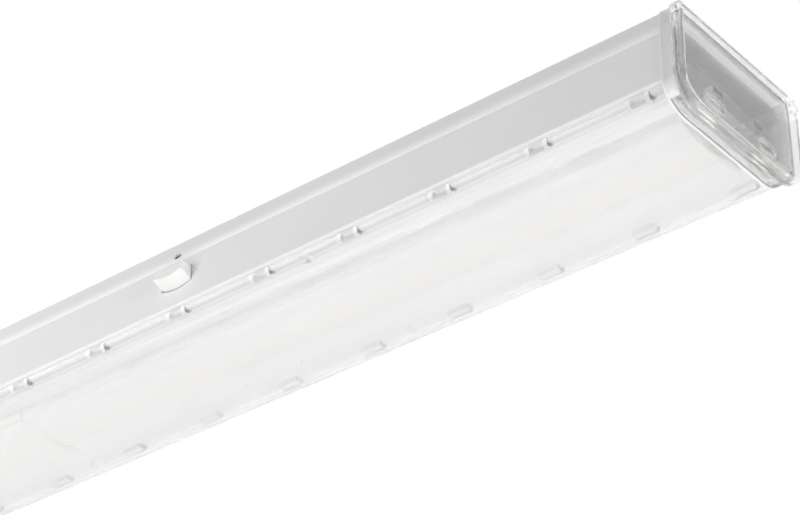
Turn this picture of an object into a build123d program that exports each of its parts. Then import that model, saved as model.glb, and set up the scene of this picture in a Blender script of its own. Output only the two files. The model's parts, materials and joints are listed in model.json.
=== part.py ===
from build123d import *
import os

# A ceiling-mounted LED linear light: a folded steel channel, a gear tray with two LED boards
# under lens strips, a clear clip-on cover, clear end caps and four sprung side catches.
# Frame: origin at the centre of the ceiling face, +X along the light, +Y across it, +Z up.
# All sizes are millimetres.

# Body
body_length = 584.0      # channel and clear cover, between the end seals
body_width = 64.0        # over the clear cover
wall_drop = 26.3         # ceiling face to the underside of the return flanges
cover_drop = 8.2         # depth of the clear cover below the channel
shoulder_width = 11.3    # curved part of the clear cover, at each side
shoulder_radius = 6.0    # of the curve where it leaves the wall

# Steel channel and gear tray
sheet = 0.8
bend_inside = 0.4        # inside radius of a fold
wall_inset = 0.6         # side walls lie this far inside the clear cover's sides
flange_reach = 7.4       # width of a return flange, from the wall's outside
bead_drop = 6.2          # ceiling face to the crest of the bead along each wall
bead_width = 2.0         # crest of the bead down to the flat wall
bead_round = 6.0         # inside radius of the bead's crest
bead_proud = 0.5
top_lean = 1.0           # the wall leans in by this much above its bead
tray_edge_gap = 0.4      # tray edge to the inside of the clear cover
tray_end_gap = 1.0
tray_lip_height = 4.0
tray_lip_width = 32.0

# Clear cover and its snap hooks
cover_wall = 1.6
cover_top_gap = 0.2      # cover edge to the underside of the channel
hook_pitch = 37.6
hook_end_gap = 9.0       # least distance from a hook's middle to the body's end
hook_width = 5.5
hook_thick = 1.2
hook_barb = 1.4
hook_root = 3.0          # hook's stem down the inside of the cover
hook_clearance = 0.5     # beside the hook and its ledge
hook_play = 0.2          # barb to the ledge that it holds, and to the flange above
ledge_width = 8.0        # pressed ledge on the tray's edge, under each hook

# LED boards
board_width = 24.0
board_thick = 1.0
board_inner_gap = 1.5    # from the middle of the light
board_end_gap = 6.0      # from the end of the body
led_pitch = 10.0
led_first = 14.0         # first LED from the middle of the light
led_edge = 2.0           # least distance from an LED's middle to the board's end
led_size = 3.0
led_height = 0.7
link_length = 15.0
link_width = 8.0
link_height = 0.8
rear_plug_gap = 22.0     # driver's tab to the middle of the board's rear connector
rear_plug_length = 12.0
rear_plug_width = 8.0
rear_plug_height = 4.5

# Lens strips
lens_width = 33.0
lens_inner_gap = 1.5     # from the middle of the light
lens_end_gap = 4.0       # from the end of the body
lens_foot = 2.0
lens_cavity = 2.0        # tray to the flat inner face
lens_plate = 1.3
lens_dome_width = 17.0
lens_dome = 1.7
lens_groove_width = 6.4
lens_groove = 1.4
lens_corner = 1.0
peg_count = 4            # along each foot of a strip
peg_inner_gap = 28.5     # from the strip's inner end
peg_outer_gap = 12.0     # from the strip's outer end
peg_diameter = 1.8
peg_length = 2.2

# Push rivets for the boards and pop rivets for the catch guides
rivet_count = 3          # on each board
rivet_inner_gap = 47.5   # from the board's inner end
rivet_outer_gap = 57.0   # from the board's outer end
rivet_y = 8.0
rivet_shank = 3.0
rivet_head = 5.4
rivet_head_height = 0.8
rivet_tail = 3.8
rivet_tail_length = 2.2
hole_clearance = 0.3     # on the radius, round rivets, pegs and screws

# Tray screws, one between two hooks
screw_shank = 2.6
screw_head = 4.6
screw_head_height = 1.6
screw_length = 6.0
screw_slot = 0.7
screw_step = 4           # hook pitches from one screw to the next
screw_count = 3          # along each side
screw_inset = 5.0        # from the clear cover's side
screw_fit = 0.05

# Studs welded to the tray's back, and their nuts
stud_diameter = 3.0
stud_proud = 1.2         # stud beyond its nut
nut_across = 5.5
nut_height = 2.4
nut_fit = 0.05

# Sprung catches, two on each side
catch_from_end = 197.0   # middle of a catch from the body's end
catch_reach = 5.0        # nose beyond the side wall
catch_width = 13.0
catch_top_share = 0.476  # ceiling face to the top of the nose, of the wall's height
catch_height_share = 0.19  # height at the ends of the nose, of the wall's height
catch_sag = 1.4          # the nose is rounded below by this much
catch_front_height = 3.2  # at the ends of the nose's front
catch_ear = 2.0          # shoulder beside the nose, behind the wall
catch_tail = 5.4         # length of the slider behind the wall
catch_edge = 0.6         # rounded and bevelled edges
window_gap = 0.5         # nose to the window in the wall
slide_gap = 0.3          # slider to its guide and to the wall
tool_slot_length = 3.4   # small slot above each catch
tool_slot_height = 1.6
tool_slot_drop = 6.2

# Catch guides and leaf springs
guide_wall = 1.2
guide_leg_gap = 0.5      # leg to the return flange
guide_depth = 14.6
guide_foot = 6.0
guide_foot_depth = 5.8
guide_foot_corner = 1.9
guide_tab = 8.0          # width of the tab behind the small slot
guide_tab_rise = 1.9     # tab above the middle of the small slot
spring_strip = 0.3
spring_height = 5.0
spring_bend = 0.55
spring_play = 0.2        # spring's tip to the slider

# Driver
driver_length = 280.0
driver_x = 15.0
driver_side_gap = 0.7    # driver to the catch guides
driver_top_gap = 3.2     # driver to the channel
driver_standoff = 2.8
driver_lid_share = 0.45  # of the driver's height
driver_edge = 1.5
driver_lid_edge = 2.5
driver_lid_bevel = 0.5
driver_foot_width = 10.0
driver_skid = 8.0
driver_tab = 8.0
driver_tab_thick = 1.4
terminal_length = 9.0
terminal_width = 16.0
terminal_share = 0.8     # of the case's height
terminal_gap = 0.2

# Mains terminal block, wires and earth lug
wire_run = 35.0          # terminal block to driver
block_length = 30.0
block_width = 17.0
block_height = 13.0
block_y = -3.0
block_bevel = 2.5
block_seat = 3.0         # floor under the nut
pole_pitch = 5.5
pole_hole = 3.0
pole_depth = 6.0
pole_lift = 7.0          # wires above the tray
key_slot = 5.0
key_width = 2.4
key_depth = 1.0
key_offset = 7.5
wire_diameter = 2.4
wire_bend = 8.0
earth_bend = 4.0
earth_lead = 4.5
led_wire_diameter = 1.6
led_wire_pitch = 5.0
led_wire_bend = 2.5
wire_entry = 4.0         # depth of a wire in a terminal
wire_fit = 0.05
wire_end_gap = 0.2
lug_length = 15.0
lug_width = 6.0
lug_thick = 0.8
lug_gap = 0.5            # lug to the driver's tab
lug_wire = 6.0           # wire lying on the lug
lug_hole_inset = 3.6

# Ceiling face
slot_from_end = 92.0
slot_width = 5.5
slot_length = 12.0
slot_cap_gap = 4.0       # slot to the inside of its sealing cap
slot_cap_depth = 9.0
slot_cap_wall = 1.2
slot_cap_flange = 2.5
grommet_from_end = 57.0
grommet_hole = 20.0
grommet_fit = 0.1
grommet_flange = 25.0
grommet_flange_thick = 1.2
grommet_depth = 3.2
grommet_dish = 15.0
grommet_dish_floor = 9.0
grommet_dish_depth = 1.6

# End caps and seals
seal_thick = 0.8
seal_width = 0.95
cap_flange = 3.4         # rear flange, flush with the body
cap_neck = 1.3           # groove between the rear flange and the front rim
cap_neck_inset = 1.2
cap_rim = 2.5            # depth of the front rim
cap_rim_proud = 1.2
cap_rim_width = 2.8
cap_plate = 1.3
cap_wall = 2.6
cap_rib_height = 3.0     # rib across the groove, where channel and cover meet
cap_ear_radius = 1.5
cap_ear_drop = 2.4
plug_length = 6.0
plug_wall = 1.2
plug_gap = 0.25
tongue_y = 11.0
tongue_width = 5.0
tongue_thick = 2.0
tongue_play = 0.3        # tongue and its barb to the tray's end lip
tongue_barb = 4.0
tongue_barb_reach = 1.2  # barb below the top of the lip
pocket_y = 14.3
pocket_drop = 28.0
pocket_length = 10.0
pocket_width = 3.4
pocket_depth = 0.6
pocket_collar = 0.7

# Heights and half widths worked out from the sizes above
half_length = body_length / 2
half_width = body_width / 2
body_height = wall_drop + cover_drop
wall_half = half_width - wall_inset
wall_inner = wall_half - sheet
bead_half = wall_half + bead_proud
bead_foot = -bead_drop - bead_width
top_half = bead_half - top_lean
flange_inner = wall_half - flange_reach
flange_top = -wall_drop + sheet
tray_top = -wall_drop
tray_bottom = tray_top - sheet
tray_half = half_width - cover_wall - tray_edge_gap
tray_half_length = half_length - tray_end_gap
tray_lip_top = tray_top + tray_lip_height
cover_top = -wall_drop - cover_top_gap
hook_outer = half_width - cover_wall
hook_inner = hook_outer - hook_thick
hook_tip = hook_inner - hook_barb
barb_top = -wall_drop - hook_play
barb_bottom = barb_top - hook_barb
ledge_top = barb_bottom - hook_play
ledge_bottom = ledge_top - sheet
ledge_outer = hook_inner - hook_clearance
ledge_inner = hook_tip - hook_clearance - sheet
board_end = half_length - board_end_gap
board_bottom = tray_bottom - board_thick
lens_end = half_length - lens_end_gap
lens_inside = tray_bottom - lens_cavity
lens_outside = lens_inside - lens_plate
peg_y = (lens_width - lens_foot) / 2
screw_y = half_width - screw_inset
catch_front = wall_half + catch_reach
catch_shoulder = wall_inner - slide_gap
catch_rear = catch_shoulder - catch_tail
catch_top = -catch_top_share * wall_drop
catch_low = catch_top - catch_height_share * wall_drop
catch_floor = catch_low - catch_sag
guide_half = catch_width / 2 + catch_ear + slide_gap
guide_rear = catch_shoulder - guide_depth
guide_leg_front = flange_inner - guide_leg_gap

# Places along the light
catch_x = half_length - catch_from_end
driver_width = 2 * (guide_rear - driver_side_gap)
driver_floor = tray_top + driver_standoff
driver_top = -sheet - driver_top_gap
driver_seam = driver_top - driver_lid_share * (driver_top - driver_floor)
terminal_height = terminal_share * (driver_seam - driver_floor)
driver_left = driver_x - driver_length / 2
driver_right = driver_x + driver_length / 2
terminal_z = driver_seam - terminal_height / 2
rear_plug_x = driver_right + driver_tab + rear_plug_gap
block_right = driver_left - wire_run
block_x = block_right - block_length / 2
earth_y = block_y - pole_pitch
lug_right = driver_left - driver_tab - lug_gap
lug_left = lug_right - lug_length
lug_hole_x = lug_right - lug_hole_inset
grommet_x = grommet_from_end - half_length
cap_back = half_length + seal_thick
plate_back = cap_back + cap_flange + cap_neck
plate_front = plate_back + cap_plate
cap_end = plate_back + cap_rim
tongue_bottom = tray_lip_top + tongue_play
tongue_heel = tray_half_length - sheet - tongue_play
tongue_tip = tongue_heel - tongue_barb


def block(x, y, z):
    """A box between two planes on each axis."""
    spans = (x, y, z)
    centre = [(low + high) / 2 for low, high in spans]
    return Pos(*centre) * Box(*[abs(high - low) for low, high in spans])


def about(middle, size):
    """The span of a given size about a middle."""
    return middle - size / 2, middle + size / 2


def polygon(points):
    return make_face(Polyline(*points, close=True))


def along_x(face, low, high):
    """A YZ outline extruded from one place along the light to another."""
    return extrude(Plane.YZ.offset(low) * face, high - low)


def across(part):
    """The mirror image on the other side of the light."""
    return mirror(part, about=Plane.XZ)


def endwise(part):
    """The mirror image at the other end of the light."""
    return mirror(part, about=Plane.YZ)


def both_sides(parts):
    return [*parts, *[across(part) for part in parts]]


def turned(profile, x, y, z):
    """A solid of revolution about a vertical axis, from (radius, height) points."""
    return Pos(x, y, z) * revolve(Plane.XZ * polygon(profile), Axis.Z)


def hole(x, y, radius, low, high):
    """A vertical cutting cylinder."""
    return Pos(x, y, (low + high) / 2) * Cylinder(radius, high - low)


def lengthwise_hole(x, y, z, diameter, depth):
    """A cutting cylinder along the light, reaching the depth each way from an end face."""
    return Pos(x, y, z) * Rot(0, 90, 0) * Cylinder(diameter / 2, 2 * depth)


def spread(first, last, count):
    return [first + (last - first) * i / (count - 1) for i in range(count)]


def hook_places():
    """Middle of each snap hook along the light, the same to both sides of the middle."""
    count = int((half_length - hook_end_gap - hook_pitch / 2) / hook_pitch + 1e-9) + 1
    right = [hook_pitch * (i + 0.5) for i in range(count)]
    return [-x for x in reversed(right)] + right


def screw_places():
    """Tray screws, midway between hooks."""
    step = screw_step * hook_pitch
    reach = step * (screw_count - 1) / 2
    return [(x, side * screw_y) for x in spread(-reach, reach, screw_count) for side in (-1, 1)]


def rivet_places():
    right = spread(board_inner_gap + rivet_inner_gap, board_end - rivet_outer_gap, rivet_count)
    return [end * x for end in (-1, 1) for x in right]


def peg_places():
    """Pegs of the right-hand lens strip."""
    xs = spread(lens_inner_gap + peg_inner_gap, lens_end - peg_outer_gap, peg_count)
    return [(x, side * peg_y) for x in xs for side in (-1, 1)]


def guide_rivet_places():
    """Rivets in the feet of the catch guides, on both sides."""
    dx = guide_half + guide_wall + guide_foot / 2
    y = guide_leg_front - guide_foot_depth / 2
    return [(x + end * dx, side * y) for x in (-catch_x, catch_x) for end in (-1, 1) for side in (-1, 1)]


def stud_places():
    """Welded studs on the tray's back: x, y and the thickness that the nut clamps."""
    tabs = [driver_left - driver_tab / 2, driver_right + driver_tab / 2]
    places = [(x, 0, driver_tab_thick) for x in tabs]
    return [*places, (block_x, block_y, block_seat), (lug_hole_x, earth_y, lug_thick)]


def body_outline(margin=0.0):
    """The body's closed YZ silhouette, grown by a margin but never above the ceiling face."""
    side = Polyline((0, 0), (top_half, 0), (half_width, -bead_drop), (half_width, -wall_drop))
    flat = half_width - shoulder_width
    upper_middle = Vector(half_width - shoulder_radius, -wall_drop)
    spare = shoulder_width - shoulder_radius
    rise = cover_drop**2 - shoulder_radius**2 + spare**2
    lower_radius = rise / (2 * (cover_drop - shoulder_radius))
    lower_middle = Vector(flat, lower_radius - body_height)
    meet = upper_middle + (upper_middle - lower_middle).normalized() * shoulder_radius
    upper = TangentArc(side @ 1, meet, tangent=(0, -1))
    lower = TangentArc(meet, (flat, -body_height), tangent=upper % 1)
    half = make_face(side + upper + lower + Polyline((flat, -body_height), (0, -body_height), (0, 0)))
    face = half + mirror(half, about=Plane.YZ)
    if margin:
        face = offset(face, amount=margin, kind=Kind.INTERSECTION)
    reach = body_width + body_height
    return face & Pos(0, -reach / 2) * Rectangle(2 * reach, reach)


def channel():
    """Folded steel channel with its beads, return flanges, windows and ceiling holes."""
    outer = [(0, 0), (top_half, 0), (bead_half, -bead_drop), (wall_half, bead_foot)]
    outer += [(wall_half, -wall_drop), (flange_inner, -wall_drop)]
    inner = [(flange_inner, flange_top), (wall_inner, flange_top), (wall_inner, bead_foot)]
    inner += [(bead_half - sheet, -bead_drop), (top_half - sheet, -sheet), (0, -sheet)]
    half = polygon([*outer, *inner])
    section = half + mirror(half, about=Plane.YZ)
    outside = [(top_half, 0), (wall_half, -wall_drop)]
    inside = [(top_half - sheet, -sheet), (wall_inner, flange_top)]
    for bends, radius in ((outside, bend_inside + sheet), (inside, bend_inside)):
        for bend in bends:
            section = fillet(vertices_at(section, *bend), radius)
    section = fillet(vertices_at(section, bead_half, -bead_drop), bead_round + sheet)
    section = fillet(vertices_at(section, bead_half - sheet, -bead_drop), bead_round)
    body = along_x(section, -half_length, half_length)
    return body - channel_cuts()


def vertices_at(section, y, z):
    """The corner at a place in a section, and its mirror image."""
    near = 1e-6
    return [v for v in section.vertices() if abs(abs(v.X) - y) < near and abs(v.Y - z) < near]


def channel_cuts():
    """Catch windows and slots, screw holes, ceiling slots and the grommet's hole."""
    through = (-wall_drop - sheet, flange_top + sheet)
    sides = []
    for x in (-catch_x, catch_x):
        window = Plane.XZ.offset(wall_inner - sheet) * nose_outline(window_gap)
        sides.append(Pos(x, 0, 0) * extrude(window, 3 * sheet))
        tool_slot = Pos(x, -tool_slot_drop) * SlotOverall(tool_slot_length, tool_slot_height)
        sides.append(extrude(Plane.XZ.offset(wall_inner - sheet) * tool_slot, 3 * sheet))
    cuts = both_sides(sides)
    cuts += [hole(x, y, screw_shank / 2 + screw_fit, *through) for x, y in screw_places()]
    for x in (slot_from_end - half_length, half_length - slot_from_end):
        cuts.append(extrude(Pos(x, 0, -2 * sheet) * slot_outline(0), 3 * sheet))
    cuts.append(hole(grommet_x, 0, grommet_hole / 2, -2 * sheet, sheet))
    return cuts


def nose_outline(gap=0.0, low=catch_low):
    """XZ outline of a catch's nose, grown by a gap: flat on top and rounded below."""
    half = catch_width / 2 + gap
    top, low = catch_top + gap, low - gap
    sides = Polyline((half, low), (half, top), (-half, top), (-half, low))
    return make_face(sides + ThreePointArc((-half, low), (0, low - catch_sag), (half, low)))


def catch():
    """A sliding catch on the near side: drafted nose outside the wall, shouldered slider behind."""
    root = Plane.XZ.offset(wall_half) * nose_outline()
    front = Plane.XZ.offset(catch_front) * nose_outline(low=catch_top - catch_front_height)
    nose = loft([root, front], ruled=True)
    nose = fillet(nose.faces().sort_by(Axis.Y)[0].edges(), catch_edge)
    nose += extrude(Plane.XZ.offset(catch_shoulder) * nose_outline(), wall_half - catch_shoulder)
    width = catch_width + 2 * catch_ear
    slider = block(about(0, width), (-catch_shoulder, -catch_rear), (catch_floor, catch_top))
    return nose + chamfer(slider.edges().filter_by(Axis.Y), catch_edge)


def catch_guide():
    """Guide on the near side: a sleeve round the slider, a tab, two legs and two riveted feet."""
    outer_half = guide_half + guide_wall
    bore_z = (catch_floor - slide_gap, catch_top + slide_gap)
    sleeve_z = (bore_z[0] - guide_wall, bore_z[1] + guide_wall)
    sleeve = block((-outer_half, outer_half), (-catch_shoulder, -guide_rear), sleeve_z)
    bore = block((-guide_half, guide_half), (-half_width, -guide_rear - guide_wall), bore_z)
    leg = block((guide_half, outer_half), (-guide_leg_front, -guide_rear), (tray_top, sleeve_z[0]))
    foot_y = (-guide_leg_front, -guide_leg_front + guide_foot_depth)
    foot = block((guide_half, outer_half + guide_foot), foot_y, (tray_top, tray_top + guide_wall))
    foot = fillet(foot.edges().filter_by(Axis.Z).group_by(Axis.X)[-1], guide_foot_corner)
    rivet = (outer_half + guide_foot / 2, sum(foot_y) / 2)
    foot -= hole(*rivet, rivet_shank / 2 + hole_clearance, tray_top - sheet, tray_top + 2 * guide_wall)
    tab_z = (sleeve_z[1], guide_tab_rise - tool_slot_drop)
    tab = block(about(0, guide_tab), (-catch_shoulder, -catch_shoulder + guide_wall), tab_z)
    return (sleeve - bore) + [tab, leg, foot, endwise(leg), endwise(foot)]


def catch_spring():
    """Folded leaf spring on the near side, between the slider and the back of its guide."""
    back = -guide_rear - guide_wall - spring_strip / 2
    reach = guide_half - 2 * spring_bend
    tip = -catch_rear + spring_strip / 2 + spring_play
    fold_end = (-reach, back - 2 * spring_bend)
    arm_end = (reach / 2, tip + spring_bend)
    foot = Line((reach, back), (-reach, back))
    fold = ThreePointArc((-reach, back), (-reach - spring_bend, back - spring_bend), fold_end)
    arm = Line(fold_end, arm_end)
    curl = TangentArc(arm_end, (arm_end[0] + 4 * spring_bend, arm_end[1]), tangent=arm % 1)
    strip = trace(foot + fold + arm + curl, spring_strip)
    return Pos(0, 0, (catch_floor + catch_top - spring_height) / 2) * extrude(strip, spring_height)


def gear_tray():
    """Flat tray under the return flanges, with folded end lips, hook ledges and fixing holes."""
    plate = block((-tray_half_length, tray_half_length), (-tray_half, tray_half), (tray_bottom, tray_top))
    lip_x = (tray_half_length - sheet, tray_half_length)
    lip = block(lip_x, about(0, tray_lip_width), (tray_bottom, tray_lip_top))
    lip = fillet(lip.edges().filter_by(Axis.X).group_by(Axis.Z)[-1], tray_lip_height / 2)
    web = block(about(0, ledge_width), (ledge_inner, ledge_inner + sheet), (ledge_bottom, tray_top))
    ledge = web + block(about(0, ledge_width), (ledge_inner, ledge_outer), (ledge_bottom, ledge_top))
    ledges = both_sides([Pos(x, 0, 0) * ledge for x in hook_places()])
    return plate + [lip, endwise(lip)] - tray_cuts() + ledges


def tray_cuts():
    """Notches round the hooks and their ledges, and holes for what passes through."""
    through = (tray_bottom - sheet, tray_top + sheet)
    notch_width = ledge_width + 2 * hook_clearance
    sides = [block(about(x, notch_width), (ledge_inner, half_width), through) for x in hook_places()]
    cuts = both_sides(sides)
    plug_x = about(rear_plug_x, rear_plug_length + 2 * hole_clearance)
    cuts.append(block(plug_x, about(0, rear_plug_width + 2 * hole_clearance), through))
    passing = [(x, y, screw_shank) for x, y in screw_places()]
    passing += [(x, rivet_y, rivet_shank) for x in rivet_places()]
    passing += [(end * x, y, peg_diameter) for x, y in peg_places() for end in (-1, 1)]
    passing += [(x, y, rivet_shank) for x, y in guide_rivet_places()]
    return cuts + [hole(x, y, size / 2 + hole_clearance, *through) for x, y, size in passing]


def clear_cover():
    """Clear cover with curved shoulders, and moulded snap hooks over the tray's ledges."""
    shell = body_outline() - body_outline(-cover_wall)
    below = Pos(0, cover_top - body_height / 2) * Rectangle(2 * body_width, body_height)
    cover = along_x(shell & below, -half_length, half_length)
    root = cover_top - hook_root
    outline = [(hook_outer, root), (hook_outer, barb_top), (hook_inner, barb_top)]
    outline += [(hook_tip, barb_bottom), (hook_inner, barb_bottom), (hook_inner, root)]
    hook = along_x(polygon(outline), *about(0, hook_width))
    return cover + both_sides([Pos(x, 0, 0) * hook for x in hook_places()])


def led_board():
    """Right-hand LED board."""
    board_z = (board_bottom, tray_bottom)
    body = block((board_inner_gap, board_end), about(0, board_width), board_z)
    radius = rivet_shank / 2 + hole_clearance
    through = (board_bottom - sheet, tray_bottom + sheet)
    return body - [hole(x, rivet_y, radius, *through) for x in rivet_places() if x > 0]


def led_chips():
    """The row of LED packages on the right-hand board, each a separate square body."""
    count = int((board_end - led_edge - led_first) / led_pitch + 1e-9) + 1
    chip_z = (board_bottom - led_height, board_bottom)
    xs = [led_first + led_pitch * i for i in range(count)]
    return Compound([block(about(x, led_size), about(0, led_size), chip_z) for x in xs])


def lens_strip():
    """Right-hand lens: domed outside, grooved over the LEDs, standing on two pegged feet."""
    half, inner = lens_width / 2, lens_width / 2 - lens_foot
    dome, groove = lens_dome_width / 2, lens_groove_width / 2
    right = [(dome, lens_outside), (half, lens_outside), (half, tray_bottom), (inner, tray_bottom)]
    right += [(inner, lens_inside), (groove, lens_inside)]
    left = [(-y, z) for y, z in right]
    outside = ThreePointArc(left[0], (0, lens_outside - lens_dome), right[0])
    inside = ThreePointArc(left[-1], (0, lens_inside - lens_groove), right[-1])
    section = make_face(outside + Polyline(*right) + inside + Polyline(*left))
    section = fillet(vertices_at(section, half, lens_outside), lens_corner)
    radius = peg_diameter / 2
    peg = [(0, -sheet), (radius, -sheet), (radius, peg_length - radius / 2)]
    peg += [(radius / 2, peg_length), (0, peg_length)]
    pegs = [turned(peg, x, y, tray_bottom) for x, y in peg_places()]
    return along_x(section, lens_inner_gap, lens_end) + pegs


def board_link():
    """Bridge connector that joins the two boards in the middle of the light."""
    link_z = (board_bottom - link_height, board_bottom)
    body = block(about(0, link_length), about(0, link_width), link_z)
    return chamfer(body.faces().sort_by(Axis.Z)[0].edges(), link_height / 4)


def rear_plug():
    """Wire connector on the back of the right-hand board, standing up through the tray."""
    top = tray_top + rear_plug_height
    body = block(about(rear_plug_x, rear_plug_length), about(0, rear_plug_width), (tray_bottom, top))
    radius = led_wire_diameter / 2 + wire_fit
    ys = about(0, led_wire_pitch)
    return body - [hole(rear_plug_x, y, radius, top - wire_entry, top + sheet) for y in ys]


def board_rivets():
    """Push rivets through the boards and the tray."""
    head, shank, tail = rivet_head / 2, rivet_shank / 2, rivet_tail / 2
    through = board_thick + sheet
    end = through + rivet_tail_length
    profile = [(0, -rivet_head_height), (shank, -rivet_head_height), (head, -rivet_head_height / 3)]
    profile += [(head, 0), (shank, 0), (shank, through), (tail, through), (shank / 2, end), (0, end)]
    return Compound([turned(profile, x, rivet_y, board_bottom) for x in rivet_places()])


def guide_rivets():
    """Pop rivets that hold the catch guides' feet to the tray."""
    head, shank, tail = rivet_head / 2, rivet_shank / 2, rivet_tail / 2
    through = sheet + guide_wall
    end = through + rivet_head_height
    profile = [(0, -rivet_head_height), (shank, -rivet_head_height), (head, 0), (shank, 0)]
    profile += [(shank, through), (tail, through), (shank, end), (0, end)]
    return Compound([turned(profile, x, y, tray_bottom) for x, y in guide_rivet_places()])


def tray_screws():
    """Pan-head screws from below, through the tray into the return flanges."""
    head, shank = screw_head / 2, screw_shank / 2
    crown = screw_head_height
    profile = [(0, -crown), (shank, -crown), (head, -crown / 2), (head, 0), (shank, 0)]
    profile += [(shank, screw_length - shank), (shank / 3, screw_length), (0, screw_length)]
    screw = turned(profile, 0, 0, 0)
    for size in ((screw_shank, screw_slot), (screw_slot, screw_shank)):
        screw -= Pos(0, 0, -crown) * Box(*size, crown)
    return Compound([Pos(x, y, tray_bottom) * screw for x, y in screw_places()])


def tray_studs():
    """Studs welded to the tray's back for the driver, the terminal block and the earth lug."""
    studs = []
    for x, y, clamped in stud_places():
        studs.append(hole(x, y, stud_diameter / 2, tray_top, tray_top + clamped + nut_height + stud_proud))
    return Compound(studs)


def tray_nuts():
    hexagon = RegularPolygon(nut_across / 2, 6, major_radius=False)
    nut = extrude(hexagon - Circle(stud_diameter / 2 + nut_fit), nut_height)
    return Compound([Pos(x, y, tray_top + clamped) * nut for x, y, clamped in stud_places()])


def driver_case():
    """Lower half of the driver's housing, on two skids with nutted tabs."""
    body = block((driver_left, driver_right), about(0, driver_width), (driver_floor, driver_seam))
    body = fillet(body.edges().filter_by(Axis.X).group_by(Axis.Z)[0], driver_edge)
    foot_y = about(0, driver_foot_width)
    tab_z = (tray_top, tray_top + driver_tab_thick)
    for edge, out in ((driver_left, -1), (driver_right, 1)):
        skid = block((edge, edge - out * driver_skid), foot_y, (tray_top, driver_floor + driver_edge))
        tab = block((edge, edge + out * driver_tab), foot_y, tab_z)
        radius = stud_diameter / 2 + hole_clearance
        tab -= hole(edge + out * driver_tab / 2, 0, radius, tray_top - sheet, driver_floor)
        recess_x = (edge - out * (terminal_length + terminal_gap), edge + out)
        recess_y = about(0, terminal_width + 2 * terminal_gap)
        recess = block(recess_x, recess_y, (driver_seam - terminal_height, driver_seam))
        body = body + [skid, tab] - recess
    return body


def driver_terminal(edge, out, ys, diameter):
    """Push-in terminal at one end of the driver, with a hole for each wire."""
    body_z = (driver_seam - terminal_height, driver_seam)
    body = block((edge - out * terminal_length, edge), about(0, terminal_width), body_z)
    return body - [lengthwise_hole(edge, y, terminal_z, diameter + 2 * wire_fit, wire_entry) for y in ys]


def driver_lid():
    """Upper half of the driver's housing."""
    body = block((driver_left, driver_right), about(0, driver_width), (driver_seam, driver_top))
    body = fillet(body.edges().filter_by(Axis.X).group_by(Axis.Z)[-1], driver_lid_edge)
    ends = body.faces().filter_by(Axis.X)
    return chamfer(ends.edges(), driver_lid_bevel)


def pole_y(pole):
    """Place across the light of a pole: -1 earth, 0 neutral, 1 live."""
    return block_y + pole * pole_pitch


def terminal_block():
    """Three-pole mains terminal block, on a stud between its poles' wire entries."""
    top = tray_top + block_height
    body = block(about(block_x, block_length), about(block_y, block_width), (tray_top, top))
    body = chamfer(body.edges().filter_by(Axis.Y).group_by(Axis.Z)[-1], block_bevel)
    cuts = []
    for pole in (-1, 0, 1):
        y = pole_y(pole)
        for end in about(block_x, block_length):
            cuts.append(lengthwise_hole(end, y, tray_top + pole_lift, pole_hole, pole_depth))
        key_x = about(block_x + key_offset, key_slot)
        cuts.append(block(key_x, about(y, key_width), (top - key_depth, top + key_depth)))
    cuts.append(hole(block_x, block_y, stud_diameter / 2 + hole_clearance, tray_top - sheet, top))
    nut_room = nut_across / 2 + 2 * hole_clearance
    cuts.append(hole(block_x, block_y, nut_room, tray_top + block_seat, top + sheet))
    return body - cuts


def wire(points, bend, diameter):
    """A wire along straight runs joined by tangent arcs."""
    path = FilletPolyline(*points, radius=bend)
    return sweep(Plane(origin=path @ 0, z_dir=path % 0) * Circle(diameter / 2), path=path)


def mains_wire(pole, y_end):
    """A wire from the terminal block to the driver's mains end."""
    y, z = pole_y(pole), tray_top + pole_lift
    third = wire_run / 3
    start, stop = block_right - wire_entry, driver_left + wire_entry - wire_end_gap
    bends = [(block_right + third, y, z), (driver_left - third, y_end, terminal_z)]
    return wire([(start, y, z), *bends, (stop, y_end, terminal_z)], wire_bend, wire_diameter)


def earth_wire():
    """Earth wire from the terminal block down to the lug on the tray."""
    high, low = tray_top + pole_lift, tray_top + lug_thick + wire_diameter / 2
    xs = (block_right - wire_entry, block_right + earth_lead, lug_left, lug_left + lug_wire)
    points = [(x, earth_y, z) for x, z in zip(xs, (high, high, low, low))]
    return wire(points, earth_bend, wire_diameter)


def earth_lug():
    """Flat earth lug, rounded round its stud."""
    body = block((lug_left, lug_right), about(earth_y, lug_width), (tray_top, tray_top + lug_thick))
    body = fillet(body.edges().filter_by(Axis.Z).group_by(Axis.X)[-1], lug_width / 2 - wire_fit)
    radius = stud_diameter / 2 + hole_clearance
    return body - hole(lug_hole_x, earth_y, radius, tray_top - sheet, tray_top + 2 * lug_thick)


def led_wires():
    """The two wires from the driver down to the right-hand board's connector."""
    start = driver_right - wire_entry + wire_end_gap
    low = tray_top + rear_plug_height - wire_entry + wire_end_gap
    wires = []
    for y in about(0, led_wire_pitch):
        points = [(start, y, terminal_z), (rear_plug_x, y, terminal_z), (rear_plug_x, y, low)]
        wires.append(wire(points, led_wire_bend, led_wire_diameter))
    return Compound(wires)


def grommet():
    """Membrane grommet for the supply cable, flush with the ceiling face."""
    neck, flange = grommet_hole / 2 - grommet_fit, grommet_flange / 2
    flange_low = -sheet - grommet_flange_thick
    profile = [(0, -grommet_dish_depth), (grommet_dish_floor / 2, -grommet_dish_depth)]
    profile += [(grommet_dish / 2, 0), (neck, 0), (neck, -sheet), (flange, -sheet)]
    profile += [(flange, flange_low), (neck, -grommet_depth), (0, -grommet_depth)]
    return turned(profile, grommet_x, 0, 0)


def slot_cap():
    """Cup under the right-hand ceiling slot, which seals over the screw's head."""
    wall = slot_cap_gap + slot_cap_wall
    cup = extrude(slot_outline(wall), -slot_cap_depth)
    flange = extrude(slot_outline(wall + slot_cap_flange), -slot_cap_wall)
    hollow = extrude(slot_outline(slot_cap_gap), slot_cap_wall - slot_cap_depth)
    return Pos(half_length - slot_from_end, 0, -sheet) * (cup + flange - hollow)


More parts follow.
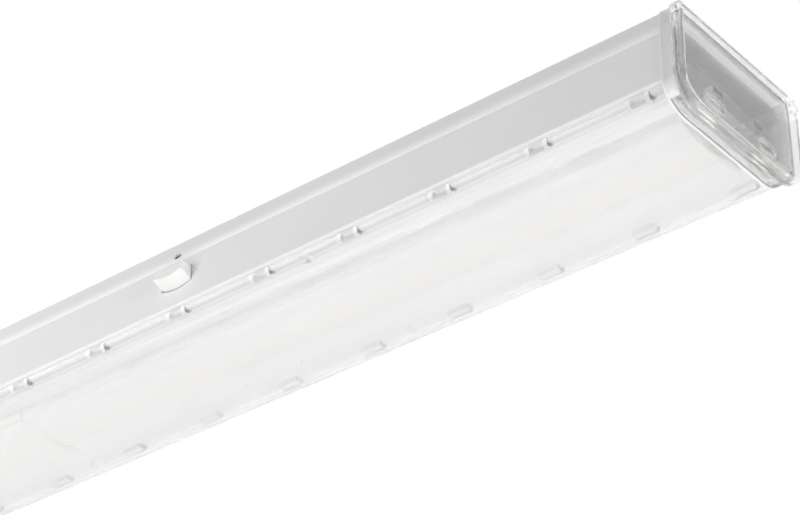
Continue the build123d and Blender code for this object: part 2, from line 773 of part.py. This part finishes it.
def slot_outline(grow):
    """A ceiling slot's outline, grown all round."""
    return SlotOverall(slot_length + 2 * grow, slot_width + 2 * grow)


def end_seal():
    """Soft frame between the body's right end and its cap."""
    return along_x(body_outline() - body_outline(-seal_width), half_length, cap_back)


def end_cap():
    """Right-hand clear cap: flush flange, grooved neck, proud rim, thin plate, plug and tongues."""
    neck = cap_back + cap_flange
    body = along_x(body_outline(), cap_back, neck)
    body += along_x(body_outline(-cap_neck_inset), neck, plate_back)
    body += along_x(body_outline(cap_rim_proud), plate_back, cap_end)
    body -= along_x(body_outline(-cap_wall), cap_back, plate_back)
    body -= along_x(body_outline(cap_rim_proud - cap_rim_width), plate_front, cap_end)
    collar = along_x(pocket_outline(pocket_collar), plate_back, plate_front + pocket_collar)
    pocket = along_x(pocket_outline(0), plate_front - pocket_depth, cap_end)
    body += both_sides([groove_rib(), rim_ear(), tongue(), collar])
    return body + plug() - both_sides([pocket])


def groove_rib():
    """Short rib that bridges the cap's groove, just above the joint of channel and cover."""
    rib_z = (-wall_drop, cap_rib_height - wall_drop)
    return block((cap_back + cap_flange, plate_back), (half_width - cap_wall, half_width), rib_z)


def rim_ear():
    """Small rounded ear on the rim, near the ceiling face."""
    middle = (plate_back + cap_rim / 2, half_width + cap_rim_proud - cap_ear_radius / 2, -cap_ear_drop)
    return Pos(*middle) * Rot(0, 90, 0) * Cylinder(cap_ear_radius, cap_rim)


def pocket_outline(grow):
    """A rounded pocket on the cap's plate, grown by its collar."""
    return Pos(pocket_y, -pocket_drop) * SlotOverall(pocket_length + 2 * grow, pocket_width + 2 * grow)


def plug():
    """Three-sided plug that slides into the channel's end."""
    top = -sheet - plug_gap
    side = wall_inner - plug_gap
    low = flange_top + bend_inside + plug_gap
    outer = [(top_half - sheet - plug_gap, top), (side, bead_foot), (side, low)]
    inner = [(side - plug_wall, low), (side - plug_wall, bead_foot)]
    inner.append((outer[0][0] - plug_wall, top - plug_wall))
    right = [*outer, *inner]
    return along_x(
        polygon([*right, *[(-y, z) for y, z in reversed(right)]]),
        half_length - plug_length,
        plate_back,
    )


def tongue():
    """Snap tongue over the tray's end lip, with a barb down behind the lip."""
    barb_z = tray_lip_top - tongue_barb_reach
    high = tongue_bottom + tongue_thick
    outline = [(plate_back, tongue_bottom), (plate_back, high), (tongue_tip + tongue_thick / 2, high)]
    outline += [(tongue_tip, tongue_bottom), (tongue_tip + tongue_barb / 3, barb_z)]
    outline += [(tongue_heel, barb_z), (tongue_heel, tongue_bottom)]
    return extrude(Plane.XZ.offset(-tongue_y - tongue_width / 2) * polygon(outline), tongue_width)


def inner_nodes():
    """Tray, driver, wiring and fasteners by name."""
    mains_ys = about(0, led_wire_pitch)
    return {
        "gear_tray": gear_tray(),
        "board_link": board_link(),
        "rear_plug": rear_plug(),
        "board_rivets": board_rivets(),
        "guide_rivets": guide_rivets(),
        "tray_screws": tray_screws(),
        "tray_studs": tray_studs(),
        "tray_nuts": tray_nuts(),
        "driver_case": driver_case(),
        "driver_lid": driver_lid(),
        "driver_mains_terminal": driver_terminal(driver_left, -1, mains_ys, wire_diameter),
        "driver_led_terminal": driver_terminal(driver_right, 1, mains_ys, led_wire_diameter),
        "terminal_block": terminal_block(),
        "neutral_wire": mains_wire(0, mains_ys[0]),
        "live_wire": mains_wire(1, mains_ys[1]),
        "earth_wire": earth_wire(),
        "earth_lug": earth_lug(),
        "led_wires": led_wires(),
        "cable_grommet": grommet(),
    }


def end_nodes():
    """Pieces that the light has at both ends, by name."""
    makers = {
        "led_board": led_board,
        "led_chips": led_chips,
        "lens_strip": lens_strip,
        "end_seal": end_seal,
        "end_cap": end_cap,
        "slot_cap": slot_cap,
    }
    nodes = {}
    for name, make in makers.items():
        right = make()
        nodes[name + "_right"] = right
        nodes[name + "_left"] = endwise(right)
    return nodes


def catch_nodes():
    """The four catches with their guides and springs, by name."""
    nodes = {}
    for name, make in (("catch", catch), ("catch_guide", catch_guide), ("catch_spring", catch_spring)):
        for end, x in (("left", -catch_x), ("right", catch_x)):
            piece = Pos(x, 0, 0) * make()
            nodes[f"{name}_front_{end}"] = piece
            nodes[f"{name}_back_{end}"] = across(piece)
    return nodes


nodes = {"steel_channel": channel(), "clear_cover": clear_cover()}
nodes.update(inner_nodes())
nodes.update(end_nodes())
nodes.update(catch_nodes())
os.makedirs("parts", exist_ok=True)
for name, shape in nodes.items():
    export_step(shape, os.path.join("parts", name + ".step"))
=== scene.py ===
import json
import math

import bpy
from mathutils import Matrix, Vector

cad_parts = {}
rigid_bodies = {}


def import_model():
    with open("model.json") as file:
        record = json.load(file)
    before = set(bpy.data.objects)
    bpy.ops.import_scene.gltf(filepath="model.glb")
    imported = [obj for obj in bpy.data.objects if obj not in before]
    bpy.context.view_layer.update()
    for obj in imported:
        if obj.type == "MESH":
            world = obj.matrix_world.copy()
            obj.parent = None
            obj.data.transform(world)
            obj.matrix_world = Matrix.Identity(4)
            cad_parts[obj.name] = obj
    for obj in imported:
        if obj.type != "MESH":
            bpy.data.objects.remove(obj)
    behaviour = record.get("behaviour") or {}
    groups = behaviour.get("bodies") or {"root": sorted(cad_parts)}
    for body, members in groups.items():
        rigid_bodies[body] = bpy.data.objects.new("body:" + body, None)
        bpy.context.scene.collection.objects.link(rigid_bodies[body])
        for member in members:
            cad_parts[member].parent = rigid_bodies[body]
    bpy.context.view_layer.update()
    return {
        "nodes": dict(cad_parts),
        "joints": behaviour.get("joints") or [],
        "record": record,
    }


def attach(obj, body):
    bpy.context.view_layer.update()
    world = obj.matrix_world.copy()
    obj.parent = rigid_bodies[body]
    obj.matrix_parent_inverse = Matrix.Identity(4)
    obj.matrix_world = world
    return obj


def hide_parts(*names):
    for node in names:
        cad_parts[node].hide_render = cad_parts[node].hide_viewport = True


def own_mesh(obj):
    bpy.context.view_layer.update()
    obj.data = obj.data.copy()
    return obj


# A ceiling-mounted LED linear light, seen from below. Sizes are metres. A drop is measured down from the
# ceiling face, and other distances from the middle of the light.
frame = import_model()
nodes = frame["nodes"]
scene = bpy.context.scene

WHITE = (1, 1, 1)

# Camera at the photograph's place, with its angles in degrees and its lens in millimetres
CAMERA_AT = (0.6211, -0.5509, -0.49692)
AZIMUTH = 39.532
ELEVATION = -33.737
ROLL = 0.466
FOCAL_LENGTH = 117.502
SENSOR = 36.0
NEAREST = 0.01

# Room
FLOOR_DROP = 3.2
FLOOR_SIZE = 14.0
FLOOR_COLOUR = (0.86, 0.86, 0.86)
FLOOR_ROUGHNESS = 0.9
FLOOR_GLOW = 0.22                # stands for the light that a bright room throws on its floor
SKY_LIGHT = 0.15                 # the world's strength as a source of light
SKY_SEEN = 1.0                   # and as a background
NO_BOUNCE = 0.5                  # a count of bounces below this is none
DAYLIGHT = 2.7                   # from above, on the floor
DAYLIGHT_SPREAD = 30.0
DAYLIGHT_LEAN = -15.0            # it comes a little from the far side

# Soft square lamps: place, aim, size and power
LAMPS = {
    "key": ((-0.25, -0.6, -0.05), (0, 0, 0), 0.4, 2.35),
    "end": ((2.6, -0.3, -0.45), (0.2, 0, 0), 1.0, 30.0),
    "fill": ((0.6, 1.4, -1.2), (0, 0, 0), 1.4, 6.0),
}

# Textures: how fine each is to the metre, how far it swings the roughness, and its relief
RAMP_ENDS = (0.3, 0.7)           # shares of a texture between which two shades mix
COARSE_DETAIL = 3.0
FINE_DETAIL = 2.0
FINE_RELIEF = 0.00001
PAINT_DRIFT = 18.0               # slow change of shade
PAINT_SHEEN = 300.0
PAINT_SWING = 0.06
PEEL = 900.0
PEEL_RELIEF = 0.00003
DRAW_LINES = 700.0
DRAW_STRETCH = (0.02, 1, 1)
DRAW_SWING = 0.04
MOULD_DRIFT = 60.0
MOULD_GRAIN = 2500.0
MOULD_SWING = 0.08
BRUSH = 1800.0
BRUSH_STRETCH = (0.05, 1, 1)
BRUSH_SMOOTHER = 0.08
BRUSH_ROUGHER = 0.12

# Finishes by slot: lighter shade, darker shade and roughness
PAINTS = {
    "channel_paint": ((0.85, 0.85, 0.85), (0.82, 0.82, 0.82), 0.42),
    "tray_paint": ((0.94, 0.94, 0.94), (0.92, 0.92, 0.92), 0.4),
}
MOULDINGS = {
    "seal_rubber": ((0.88, 0.88, 0.87), (0.84, 0.84, 0.83), 0.6),
    "grommet_rubber": ((0.42, 0.42, 0.42), (0.37, 0.37, 0.37), 0.7),
    "board_white": ((0.93, 0.93, 0.91), (0.9, 0.9, 0.88), 0.4),
    "catch_nylon": ((0.88, 0.88, 0.87), (0.85, 0.85, 0.84), 0.45),
    "white_nylon": ((0.9, 0.9, 0.88), (0.86, 0.86, 0.84), 0.5),
    "driver_white": ((0.9, 0.9, 0.9), (0.87, 0.87, 0.87), 0.38),
    "terminal_grey": ((0.62, 0.63, 0.64), (0.57, 0.58, 0.59), 0.45),
    "wire_brown": ((0.3, 0.16, 0.08), (0.26, 0.13, 0.06), 0.4),
    "wire_blue": ((0.1, 0.25, 0.6), (0.08, 0.2, 0.52), 0.4),
    "wire_earth": ((0.62, 0.7, 0.12), (0.12, 0.42, 0.14), 0.4),
    "wire_white": ((0.88, 0.88, 0.86), (0.84, 0.84, 0.82), 0.4),
}
METALS = {
    "zinc_steel": ((0.72, 0.73, 0.74), (0.6, 0.61, 0.63), 0.32),
}

# Clear plastic
PLASTIC_INDEX = 1.49
TINT_DENSITY = 80.0

# Clear cover
COVER_TINT = (0.9, 0.905, 0.9)
COVER_ROUGHNESS = 0.02
COVER_ALPHA = 0.4
BEND_SHADE_DROPS = (0.0272, 0.0302)          # drops between which its bend gets a painted shade, darker towards its lower edge
BEND_END = (0.0309, 0.0313)      # drops between which it goes over into the flat face
# Painted shade on the bend: white at its top, dark at its lower edge, for the shade under the cover's
# shoulder
BEND_SHADE_TOP = WHITE
BEND_SHADE_BOTTOM = (0.3, 0.3, 0.3)
BEND_ROUGHNESS = 0.2
FACE_ROUGHNESS = 0.03
SIDE_END = (0.0280, 0.0292)      # its side wall is clearest above this drop
SIDE_ALPHA = 0.06
INNER_SHARE = 0.3                # of the outside's alpha, on the faces inside
HOOK_FACE = (0.03055, 0.03065)   # its hooks lie inside this distance from the middle plane
HOOK_ROOT = (0.0293, 0.0296)     # and above this drop
HOOK_PITCH = 0.0376
HOOK_WIDTH = 0.0086

# Clear end caps
CAP_TINT = (0.9, 0.905, 0.88)
CAP_ROUGHNESS = 0.0
CAP_ALPHA = 0.75
CAP_SKIRT = (0.2962, 0.2968)     # where the skirt that plugs on to the body ends
CAP_SIDE = (0.0285, 0.0293)      # where its side walls begin
SKIRT_CLEARNESS = 0.1            # of those walls

# Lens strips
LENS_COLOUR = (0.99, 0.99, 0.99)
LENS_ROUGHNESS = 0.3
LENS_ALPHA = 0.97
LENS_WARM = (0.99, 0.972, 0.948)
LENS_WARM_BAND = (0.001, 0.0075)
# Painted shade lines on the lens: a contact shadow where its feet meet the tray, and dark edges of its inner
# plate and dome
LENS_SHADE_LINE_COLOUR = (0.9, 0.9, 0.9)
LENS_SHADE_LINE = 0.0005
LENS_SHADE_LINE_DROPS = (0.0275, 0.0291)
LENS_HALF = 0.0165               # half its width
LENS_BOTTOM = -0.0304            # height of its flat outer face
LENS_CORNER = 0.001
DOME_HALF = 0.0085               # half the width of its dome
DOME_DEPTH = 0.0017
CORNER_STEPS = 5
DOME_STEPS = 16

# Thin strip over the seam of the two lens strips, as painted light: its pale colour covers the shade in the
# gap between them
SEAM_HALF = 0.0065               # half its length along the light
SEAM_GAP = 0.0001
SEAM_THICK = 0.0005
SEAM_TOP = -0.0274
SEAM_PAINTED_LIGHT_LOOK = ((0.97, 0.97, 0.96), (0.95, 0.95, 0.94), 0.35)

# LEDs along each board
LED_FIRST = 0.014
LED_PITCH = 0.010
LED_DISC = 0.0011                # radius of the phosphor in its white package
LED_EDGE = 0.0002
LED_PHOSPHOR = (0.93, 0.8, 0.3)
LED_PACKAGE = (0.93, 0.93, 0.9)
LED_ROUGHNESS = 0.35

# Sockets of a node that mixes colours
MIX_SHARE = 0
MIX_FIRST = 6
MIX_SECOND = 7
MIX_RESULT = 2


def added(name, data):
    """A new object in the scene."""
    item = bpy.data.objects.new(name, data)
    scene.collection.objects.link(item)
    return item


def maths(tree, operation, a, b=None):
    """A sum on one or two sockets or numbers."""
    node = tree.nodes.new("ShaderNodeMath")
    node.operation = operation
    for place, value in zip(node.inputs, (a, b)):
        if isinstance(value, (int, float)):
            place.default_value = value
        elif value is not None:
            tree.links.new(value, place)
    return node.outputs[0]


def position(tree):
    """Where a point lies in the object's own metres, by axis."""
    place = tree.nodes.new("ShaderNodeTexCoord")
    split = tree.nodes.new("ShaderNodeSeparateXYZ")
    tree.links.new(place.outputs["Object"], split.inputs["Vector"])
    return split.outputs


def spread(tree, share, low, high):
    """Takes a share from 0 to 1 on to a range."""
    node = tree.nodes.new("ShaderNodeMapRange")
    node.inputs["To Min"].default_value = low
    node.inputs["To Max"].default_value = high
    tree.links.new(share, node.inputs["Value"])
    return node.outputs["Result"]


def rise(tree, value, start, end, course):
    """0 up to one value, rising to 1 at another."""
    node = tree.nodes.new("ShaderNodeMapRange")
    node.interpolation_type = course
    node.inputs["From Min"].default_value = start
    node.inputs["From Max"].default_value = end
    tree.links.new(value, node.inputs["Value"])
    return node.outputs["Result"]


def beyond(tree, axis, near, far):
    """0 up to one distance from the middle plane or the ceiling face, rising smoothly to 1 at another."""
    return rise(tree, maths(tree, "ABSOLUTE", position(tree)[axis]), near, far, "SMOOTHSTEP")


def line(tree, axis, at, width):
    """1 along a thin line at a distance from the middle plane or the ceiling face, and 0 elsewhere."""
    rising = beyond(tree, axis, at - width, at)
    falling = beyond(tree, axis, at, at + width)
    return maths(tree, "SUBTRACT", rising, falling)


def off_pitch(tree, first, pitch):
    """Distance along the light from the nearest place of a row that runs out from the middle both ways."""
    run = maths(tree, "SUBTRACT", maths(tree, "ABSOLUTE", position(tree)["X"]), first - pitch / 2)
    return maths(tree, "SUBTRACT", maths(tree, "MODULO", run, pitch), pitch / 2)


def repeated(tree, first, pitch, width):
    """1 in bands of a width along the light, at a pitch, and 0 between them."""
    return maths(tree, "LESS_THAN", maths(tree, "ABSOLUTE", off_pitch(tree, first, pitch)), width / 2)


def blend(tree, share, first, second):
    """Goes from one colour to another, each given as numbers or as a socket."""
    mix = tree.nodes.new("ShaderNodeMix")
    mix.data_type = "RGBA"
    tree.links.new(share, mix.inputs[MIX_SHARE])
    for place, colour in ((mix.inputs[MIX_FIRST], first), (mix.inputs[MIX_SECOND], second)):
        if isinstance(colour, tuple):
            place.default_value = (*colour, 1)
        else:
            tree.links.new(colour, place)
    return mix.outputs[MIX_RESULT]


def noise(tree, scale, detail=COARSE_DETAIL, stretch=(1, 1, 1)):
    """Noise in the object's own metres, stretched along an axis."""
    place = tree.nodes.new("ShaderNodeTexCoord")
    mapping = tree.nodes.new("ShaderNodeMapping")
    mapping.inputs["Scale"].default_value = stretch
    texture = tree.nodes.new("ShaderNodeTexNoise")
    texture.inputs["Scale"].default_value = scale
    texture.inputs["Detail"].default_value = detail
    tree.links.new(place.outputs["Object"], mapping.inputs["Vector"])
    tree.links.new(mapping.outputs["Vector"], texture.inputs["Vector"])
    return texture.outputs["Fac"]


def camera():
    """The camera at the photograph's place and angle."""
    azimuth, elevation = math.radians(AZIMUTH), math.radians(ELEVATION)
    flat = math.cos(elevation)
    back = Vector((math.sin(azimuth) * flat, -math.cos(azimuth) * flat, math.sin(elevation)))
    turn = (-back).to_track_quat("-Z", "Y").to_matrix().to_4x4()
    data = bpy.data.cameras.new("camera")
    data.lens = FOCAL_LENGTH
    data.sensor_width = SENSOR
    data.clip_start = NEAREST
    eye = added("camera", data)
    eye.matrix_world = Matrix.Translation(CAMERA_AT) @ turn @ Matrix.Rotation(math.radians(ROLL), 4, "Z")
    scene.camera = eye


def world():
    """White to the camera, to reflections and through clear plastic, and a plainer light on surfaces."""
    sky = bpy.data.worlds.new("sky")
    sky.use_nodes = True
    scene.world = sky
    tree = sky.node_tree
    path = tree.nodes.new("ShaderNodeLightPath").outputs
    seen = maths(tree, "ADD", path["Is Camera Ray"], path["Is Glossy Ray"])
    seen = maths(tree, "ADD", seen, path["Is Transmission Ray"])
    seen = maths(tree, "MULTIPLY", seen, maths(tree, "LESS_THAN", path["Diffuse Depth"], NO_BOUNCE))
    background = tree.nodes["Background"].inputs
    background["Color"].default_value = (*WHITE, 1)
    tree.links.new(spread(tree, seen, SKY_LIGHT, SKY_SEEN), background["Strength"])


def lamp(name, at, aim, size, power):
    """A soft square lamp that points at a place."""
    data = bpy.data.lights.new(name, "AREA")
    data.size = size
    data.energy = power
    light = added(name, data)
    light.location = at
    light.rotation_euler = (Vector(aim) - Vector(at)).to_track_quat("-Z", "Y").to_euler()


def daylight():
    """Broad light from above, which the floor throws back."""
    data = bpy.data.lights.new("daylight", "SUN")
    data.energy = DAYLIGHT
    data.angle = math.radians(DAYLIGHT_SPREAD)
    light = added("daylight", data)
    light.rotation_euler = (math.radians(DAYLIGHT_LEAN), 0, 0)


def plain(name, colour, roughness, **sockets):
    """A principled material with uniform values on its own sockets."""
    made = bpy.data.materials.new(name)
    made.use_nodes = True
    surface = made.node_tree.nodes["Principled BSDF"]
    surface.inputs["Base Color"].default_value = (*colour, 1)
    surface.inputs["Roughness"].default_value = roughness
    for socket, value in sockets.items():
        surface.inputs[socket.replace("_", " ")].default_value = value
    return made


def floor():
    """Pale floor of the room, far below the light."""
    mesh = bpy.data.meshes.new("floor")
    half = FLOOR_SIZE / 2
    corners = [(-half, -half), (half, -half), (half, half), (-half, half)]
    mesh.from_pydata([(x, y, -FLOOR_DROP) for x, y in corners], [], [(0, 1, 2, 3)])
    glow = {"Emission_Color": (*WHITE, 1), "Emission_Strength": FLOOR_GLOW}
    mesh.materials.append(plain("floor", FLOOR_COLOUR, FLOOR_ROUGHNESS, **glow))
    ground = added("floor", mesh)


def set_by(made, socket, value):
    """Links a value to one of the shader's sockets."""
    made.node_tree.links.new(value, made.node_tree.nodes["Principled BSDF"].inputs[socket])


def vary(made, socket, share, low, high):
    """Spreads a texture over a range of one of the shader's values."""
    set_by(made, socket, spread(made.node_tree, share, low, high))


def vary_colour(made, share, light, dark):
    """Mixes two shades by a texture into the base colour."""
    ramp = made.node_tree.nodes.new("ShaderNodeValToRGB")
    for end, at, shade in zip(ramp.color_ramp.elements, RAMP_ENDS, (dark, light)):
        end.position = at
        end.color = (*shade, 1)
    made.node_tree.links.new(share, ramp.inputs["Fac"])
    set_by(made, "Base Color", ramp.outputs["Color"])


def bump(made, height, depth):
    """Surface relief from a texture, with its depth in metres."""
    relief = made.node_tree.nodes.new("ShaderNodeBump")
    relief.inputs["Distance"].default_value = depth
    made.node_tree.links.new(height, relief.inputs["Height"])
    set_by(made, "Normal", relief.outputs["Normal"])


def tint(made, colour):
    """Darkens clear plastic by the depth of it that light passes."""
    tree = made.node_tree
    inside = tree.nodes.new("ShaderNodeVolumeAbsorption")
    inside.inputs["Color"].default_value = (*colour, 1)
    inside.inputs["Density"].default_value = TINT_DENSITY
    tree.links.new(inside.outputs["Volume"], tree.nodes["Material Output"].inputs["Volume"])


def paint(name, light, dark, roughness):
    """Powder coat: a fine orange peel and a faint drift of shade."""
    made = plain(name, light, roughness)
    tree = made.node_tree
    vary_colour(made, noise(tree, PAINT_DRIFT), light, dark)
    vary(made, "Roughness", noise(tree, PAINT_SHEEN), roughness - PAINT_SWING, roughness + PAINT_SWING)
    bump(made, noise(tree, PEEL, FINE_DETAIL), PEEL_RELIEF)
    return made


def moulded(name, light, dark, roughness):
    """Moulded plastic or rubber: a fine matt grain and a faint drift of shade."""
    made = plain(name, light, roughness)
    vary_colour(made, noise(made.node_tree, MOULD_DRIFT), light, dark)
    grain = noise(made.node_tree, MOULD_GRAIN, FINE_DETAIL)
    vary(made, "Roughness", grain, roughness - MOULD_SWING, roughness + MOULD_SWING)
    bump(made, grain, FINE_RELIEF)
    return made


def metal(name, light, dark, roughness):
    """Plated metal, brushed along the light."""
    made = plain(name, light, roughness, Metallic=1.0)
    strokes = noise(made.node_tree, BRUSH, stretch=BRUSH_STRETCH)
    vary_colour(made, strokes, light, dark)
    vary(made, "Roughness", strokes, roughness - BRUSH_SMOOTHER, roughness + BRUSH_ROUGHER)
    bump(made, strokes, FINE_RELIEF)
    return made


def clear(name, colour, roughness, **sockets):
    """Clear or hazy moulded plastic with faint draw lines along the light."""
    made = plain(name, colour, roughness, IOR=PLASTIC_INDEX, **sockets)
    lines = noise(made.node_tree, DRAW_LINES, FINE_DETAIL, DRAW_STRETCH)
    vary(made, "Roughness", lines, roughness, roughness + DRAW_SWING)
    bump(made, lines, FINE_RELIEF)
    return made


def cover():
    """Clear cover, a little frosted round its bends, with a painted shade that darkens its bends downwards,
    and white hooks inside its walls.
    """
    made = clear("clear_cover", WHITE, COVER_ROUGHNESS, Transmission_Weight=1.0, Alpha=COVER_ALPHA)
    tint(made, COVER_TINT)
    tree = made.node_tree
    face = beyond(tree, "Z", *BEND_END)
    shell = maths(tree, "MAXIMUM", face, beyond(tree, "Y", *HOOK_FACE))
    around = maths(tree, "MAXIMUM", shell, beyond(tree, "Z", *HOOK_ROOT))
    bands = repeated(tree, HOOK_PITCH / 2, HOOK_PITCH, HOOK_WIDTH)
    hook = maths(tree, "MULTIPLY", bands, spread(tree, around, 1, 0))
    # painted shade: the bend darkens towards its lower edge
    bend_shade = blend(tree, beyond(tree, "Z", *BEND_SHADE_DROPS), BEND_SHADE_TOP, BEND_SHADE_BOTTOM)
    set_by(made, "Base Color", blend(tree, maths(tree, "MAXIMUM", face, hook), bend_shade, WHITE))
    vary(made, "Roughness", face, BEND_ROUGHNESS, FACE_ROUGHNESS)
    vary(made, "Transmission Weight", hook, 1, 0)
    outer = spread(tree, beyond(tree, "Z", *SIDE_END), SIDE_ALPHA, COVER_ALPHA)
    solid = maths(tree, "MULTIPLY", spread(tree, shell, INNER_SHARE, 1), outer)
    set_by(made, "Alpha", maths(tree, "MAXIMUM", solid, hook))
    return made


def cap():
    """Clear end cap, a little milky where it plugs on to the body."""
    made = clear("clear_cap", WHITE, CAP_ROUGHNESS, Transmission_Weight=1.0, Alpha=CAP_ALPHA)
    tint(made, CAP_TINT)
    tree = made.node_tree
    skirt = spread(tree, beyond(tree, "X", *CAP_SKIRT), 1, 0)
    sides = maths(tree, "MULTIPLY", skirt, beyond(tree, "Y", *CAP_SIDE))
    vary(made, "Transmission Weight", sides, 1, SKIRT_CLEARNESS)
    return made


def lens():
    """Hazy lens strip: painted shade lines along its feet and dome, and warm over the LEDs."""
    made = clear("clear_lens", LENS_COLOUR, LENS_ROUGHNESS, Alpha=LENS_ALPHA)
    tree = made.node_tree
    # painted shade: dark lines for the feet's contact shadow and the edges of the plate and dome
    lines = line(tree, "Y", DOME_HALF, LENS_SHADE_LINE)
    for drop in LENS_SHADE_LINE_DROPS:
        lines = maths(tree, "MAXIMUM", lines, line(tree, "Z", drop, LENS_SHADE_LINE))
    warm = blend(tree, beyond(tree, "Y", *LENS_WARM_BAND), LENS_WARM, LENS_COLOUR)
    set_by(made, "Base Color", blend(tree, lines, warm, LENS_SHADE_LINE_COLOUR))
    return made


def leds():
    """LED packages: a round phosphor face in a white body, at the LEDs' pitch along the light."""
    made = plain("led_phosphor", LED_PACKAGE, LED_ROUGHNESS)
    tree = made.node_tree
    along = maths(tree, "POWER", off_pitch(tree, LED_FIRST, LED_PITCH), 2)
    across = maths(tree, "POWER", position(tree)["Y"], 2)
    radius = maths(tree, "SQRT", maths(tree, "ADD", along, across))
    vary_colour(made, rise(tree, radius, LED_DISC, LED_DISC + LED_EDGE, "LINEAR"), LED_PACKAGE, LED_PHOSPHOR)
    bump(made, noise(tree, MOULD_GRAIN, FINE_DETAIL), FINE_RELIEF)
    return made


def materials():
    """One material for each of the record's slots."""
    made = {"clear_cover": cover(), "clear_cap": cap(), "clear_lens": lens(), "led_phosphor": leds()}
    for finish, looks in ((paint, PAINTS), (moulded, MOULDINGS), (metal, METALS)):
        for name, look in looks.items():
            made[name] = finish(name, *look)
    return made


def springs(finish):
    """Copies of the catches' leaf springs in a finish, each held by the body that its catch slides in."""
    for joint in frame["joints"]:
        node = joint["child"].replace("catch_", "catch_spring_")
        piece = added("leaf_" + node, nodes[node].data.copy())
        piece.data.materials.clear()
        piece.data.materials.append(finish)
        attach(piece, joint["parent"])
        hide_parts(node)
        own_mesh(piece)


def lens_profile(offset):
    """Points round the outside of a lens strip, a distance off it, from foot to foot."""
    corner = LENS_HALF - LENS_CORNER
    points = [(LENS_HALF + offset, SEAM_TOP)]
    for i in range(CORNER_STEPS + 1):
        turn = math.radians(90 * i / CORNER_STEPS)
        reach = LENS_CORNER + offset
        points.append((corner + reach * math.cos(turn), LENS_BOTTOM + LENS_CORNER - reach * math.sin(turn)))
    radius = (DOME_HALF ** 2 + DOME_DEPTH ** 2) / (2 * DOME_DEPTH)
    edge = math.asin(DOME_HALF / radius)
    middle = LENS_BOTTOM - DOME_DEPTH + radius
    for i in range(DOME_STEPS + 1):
        turn = edge * (1 - i / DOME_STEPS)
        reach = radius + offset
        points.append((reach * math.sin(turn), middle - reach * math.cos(turn)))
    return points + [(-y, z) for y, z in reversed(points[:-1])]


def lens_seam_painted_light_strip(finish):
    """Thin strip over the seam where the two lens strips meet, as painted light that covers the shade in
    their gap.
    """
    inner, outer = lens_profile(SEAM_GAP), lens_profile(SEAM_GAP + SEAM_THICK)
    loop = outer + inner[::-1]
    points = [(x, y, z) for x in (-SEAM_HALF, SEAM_HALF) for y, z in loop]
    count = len(loop)
    faces = []
    for i in range(count):
        j = (i + 1) % count
        faces.append((count + i, count + j, j, i))
    for i in range(len(outer) - 1):
        end = (i, i + 1, count - 2 - i, count - 1 - i)
        faces.append(end)
        faces.append(tuple(count + k for k in reversed(end)))
    mesh = bpy.data.meshes.new("lens_seam_painted_light_strip")
    mesh.from_pydata(points, [], faces)
    mesh.materials.append(finish)
    strip = added("lens_seam_painted_light_strip", mesh)
    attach(strip, "light_body")


scene.view_settings.view_transform = "Standard"
camera()
world()
floor()
daylight()
for name, settings in LAMPS.items():
    lamp(name, *settings)

finishes = materials()
for part in frame["record"]["subparts"]:
    for place in nodes[part["node"]].material_slots:
        place.material = finishes[part["material_slot"]]
springs(finishes["zinc_steel"])
# painted light: a pale strip laid over the shade in the lens seam
lens_seam_painted_light_strip(moulded("lens_seam_painted_light_strip", *SEAM_PAINTED_LIGHT_LOOK))
